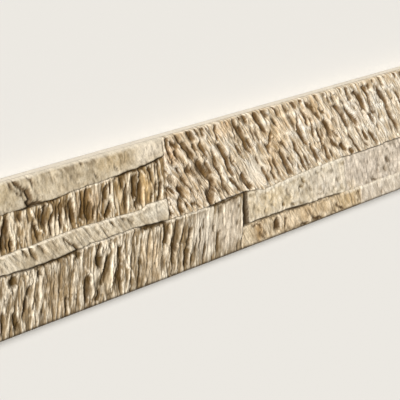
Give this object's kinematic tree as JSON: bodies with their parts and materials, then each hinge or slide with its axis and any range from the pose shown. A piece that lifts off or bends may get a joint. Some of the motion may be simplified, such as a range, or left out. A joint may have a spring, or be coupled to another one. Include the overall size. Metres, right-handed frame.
{
  "type": "wall tile",
  "caption": "Long ceramic wall tile whose face imitates stacked split stones of several textures, lying on its back.",
  "frame": {"origin": "centre of the back plane, which rests on the floor", "axes": "+X along the tile's length, +Y up the face as it hangs on a wall, +Z out of the face"},
  "size_m": [0.4424, 0.08, 0.0111],
  "materials": {
    "stoneware": "matt glaze in cream, tan, brown and grey over a pressed stone relief"
  },
  "bodies": {
    "root": {"tile": "stoneware"}
  },
  "joints": []
}
